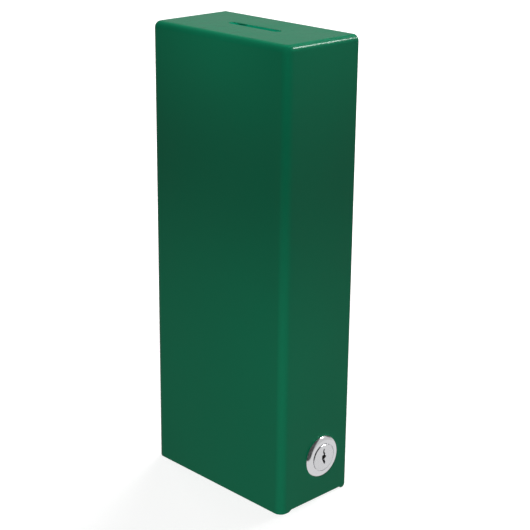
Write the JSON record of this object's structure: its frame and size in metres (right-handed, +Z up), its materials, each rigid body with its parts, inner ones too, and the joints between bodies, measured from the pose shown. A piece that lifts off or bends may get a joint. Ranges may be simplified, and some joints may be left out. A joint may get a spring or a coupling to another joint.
{
  "type": "donation box",
  "caption": "Slim wall-hung steel donation box with a coin slot in the top, a hinged base door and a cam lock.",
  "frame": {"origin": "on the floor, under the middle of the box", "axes": "+X along the wide front towards the lock side, +Y from the front to the back plate, +Z up"},
  "size_m": [0.1025, 0.05, 0.25],
  "materials": {
    "green_coat": "glossy dark green powder coat with a fine orange peel",
    "chrome": "polished chrome plating",
    "chrome_plug": "satin chrome, brushed in circles, with fine key scratches",
    "zinc_steel": "bright zinc plating",
    "steel": "plain steel, lightly oiled",
    "rivet_aluminium": "matt drawn aluminium",
    "brass": "stamped brass, slightly dulled"
  },
  "bodies": {
    "box": {"body_shell": "green_coat", "back_plate": "green_coat", "coin_baffle": "zinc_steel", "baffle_rivets": "rivet_aluminium", "hinge_leaf": "green_coat", "hinge_pin": "steel", "lock_housing": "chrome", "lock_washer": "steel", "lock_nut": "zinc_steel"},
    "door": {"base_door": "green_coat", "strike": "zinc_steel", "strike_rivets": "rivet_aluminium"},
    "lock_core": {"lock_plug": "chrome_plug", "stop_washer": "steel", "cam": "zinc_steel", "cam_spring_washer": "steel", "cam_screw": "zinc_steel", "wafer_spring_1": "steel", "wafer_spring_2": "steel", "wafer_spring_3": "steel", "wafer_spring_4": "steel", "wafer_spring_5": "steel"},
    "wafer_1": {"lock_wafer_1": "brass"},
    "wafer_2": {"lock_wafer_2": "brass"},
    "wafer_3": {"lock_wafer_3": "brass"},
    "wafer_4": {"lock_wafer_4": "brass"},
    "wafer_5": {"lock_wafer_5": "brass"}
  },
  "joints": [
    {"name": "door_swing", "type": "hinge", "parent": "box", "child": "door", "pos_m": [-0.04575, 0, 0.0035], "axis": [0, 1, 0], "range_deg": [0, 90]},
    {"name": "lock_turn", "type": "hinge", "parent": "box", "child": "lock_core", "pos_m": [0.05, 0.005, 0.0255], "axis": [-1, 0, 0], "range_deg": [0, 90]},
    {"name": "wafer_1_slide", "type": "slide", "parent": "lock_core", "child": "wafer_1", "axis": [0, 0, 1], "range_m": [0, 0.0006], "deforming": ["wafer_spring_1"]},
    {"name": "wafer_2_slide", "type": "slide", "parent": "lock_core", "child": "wafer_2", "axis": [0, 0, 1], "range_m": [0, 0.0006], "deforming": ["wafer_spring_2"]},
    {"name": "wafer_3_slide", "type": "slide", "parent": "lock_core", "child": "wafer_3", "axis": [0, 0, 1], "range_m": [0, 0.0006], "deforming": ["wafer_spring_3"]},
    {"name": "wafer_4_slide", "type": "slide", "parent": "lock_core", "child": "wafer_4", "axis": [0, 0, 1], "range_m": [0, 0.0006], "deforming": ["wafer_spring_4"]},
    {"name": "wafer_5_slide", "type": "slide", "parent": "lock_core", "child": "wafer_5", "axis": [0, 0, 1], "range_m": [0, 0.0006], "deforming": ["wafer_spring_5"]}
  ]
}
